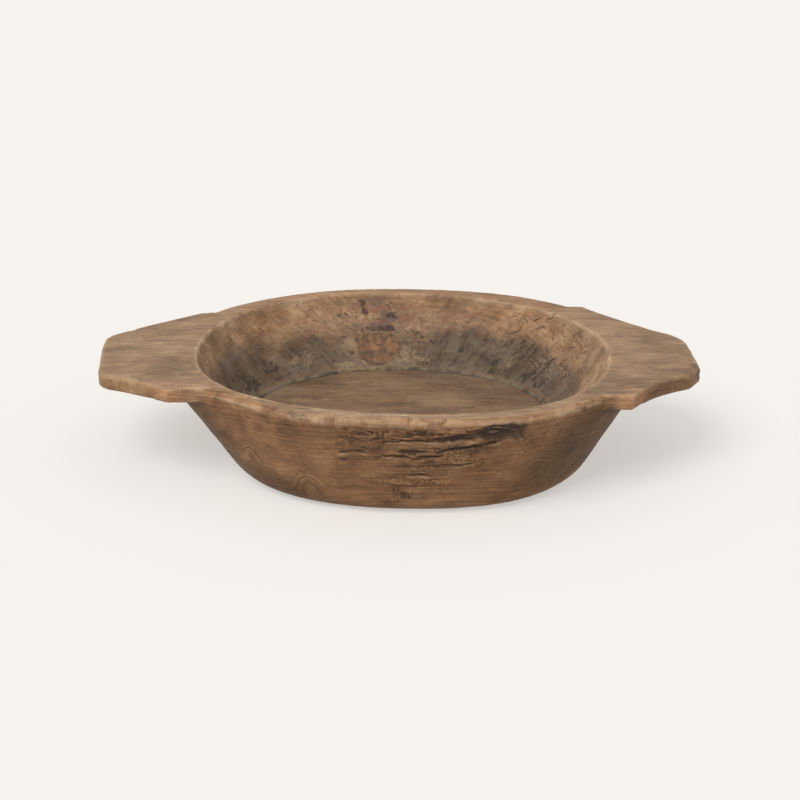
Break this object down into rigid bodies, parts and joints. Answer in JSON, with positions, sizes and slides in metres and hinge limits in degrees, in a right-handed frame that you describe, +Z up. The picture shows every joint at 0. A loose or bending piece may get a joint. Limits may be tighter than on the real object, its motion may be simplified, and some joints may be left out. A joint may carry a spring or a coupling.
{
  "type": "wooden dough tray",
  "caption": "Oval dough bowl carved from one log, with a flat ear handle at each end, worn rim, and small repairs let into wall, rim and floor corner.",
  "frame": {"origin": "under the middle of the tray, on the surface that its foot stands on", "axes": "+X along the log from the left ear to the right ear, +Y from the front to the back, +Z up out of the bowl"},
  "size_m": [0.748, 0.4746, 0.132],
  "materials": {
    "log_wood": "aged, oiled and worn",
    "plug_wood": "aged, cracked",
    "pitch": "dark pitch, matt",
    "patch_wood": "worn smooth",
    "pale_filler": "dry filler, matt",
    "knot_wood": "dead knot, matt",
    "corner_filler": "dusty filler, matt",
    "shim_wood": "bare split wood"
  },
  "bodies": {
    "root": {"carved_bowl": "log_wood", "wall_knot_plug": "plug_wood", "wall_plug_pitch": "pitch", "rim_patch": "patch_wood", "rim_patch_filler": "pale_filler", "rim_knot": "knot_wood", "floor_corner_filler": "corner_filler", "floor_corner_shim": "shim_wood"}
  },
  "joints": []
}
